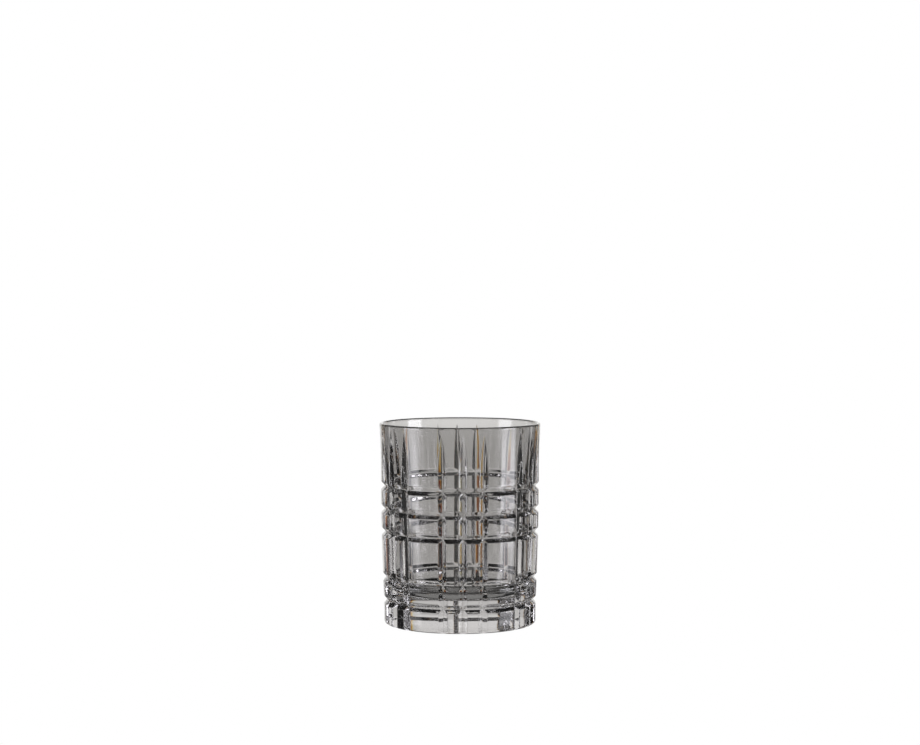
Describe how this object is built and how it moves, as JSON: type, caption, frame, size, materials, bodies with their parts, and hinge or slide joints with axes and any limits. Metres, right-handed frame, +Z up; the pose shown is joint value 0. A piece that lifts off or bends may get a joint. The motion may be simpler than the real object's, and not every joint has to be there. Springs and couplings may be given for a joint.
{
  "type": "whiskey tumbler",
  "caption": "Straight-sided pressed glass tumbler with a thick base, a rounded rim and a plaid of V-grooves cut into its outside.",
  "frame": {"origin": "centre of the base, on the plane the tumbler stands on", "axes": "+Z up along the axis of the glass, out of its mouth; the middle groove of one group of upright grooves faces -Y"},
  "size_m": [0.082, 0.082, 0.102],
  "materials": {
    "smoke_glass": "polished, clear, tinted light smoke grey all through"
  },
  "bodies": {
    "root": {"tumbler_glass": "smoke_glass"}
  },
  "joints": []
}
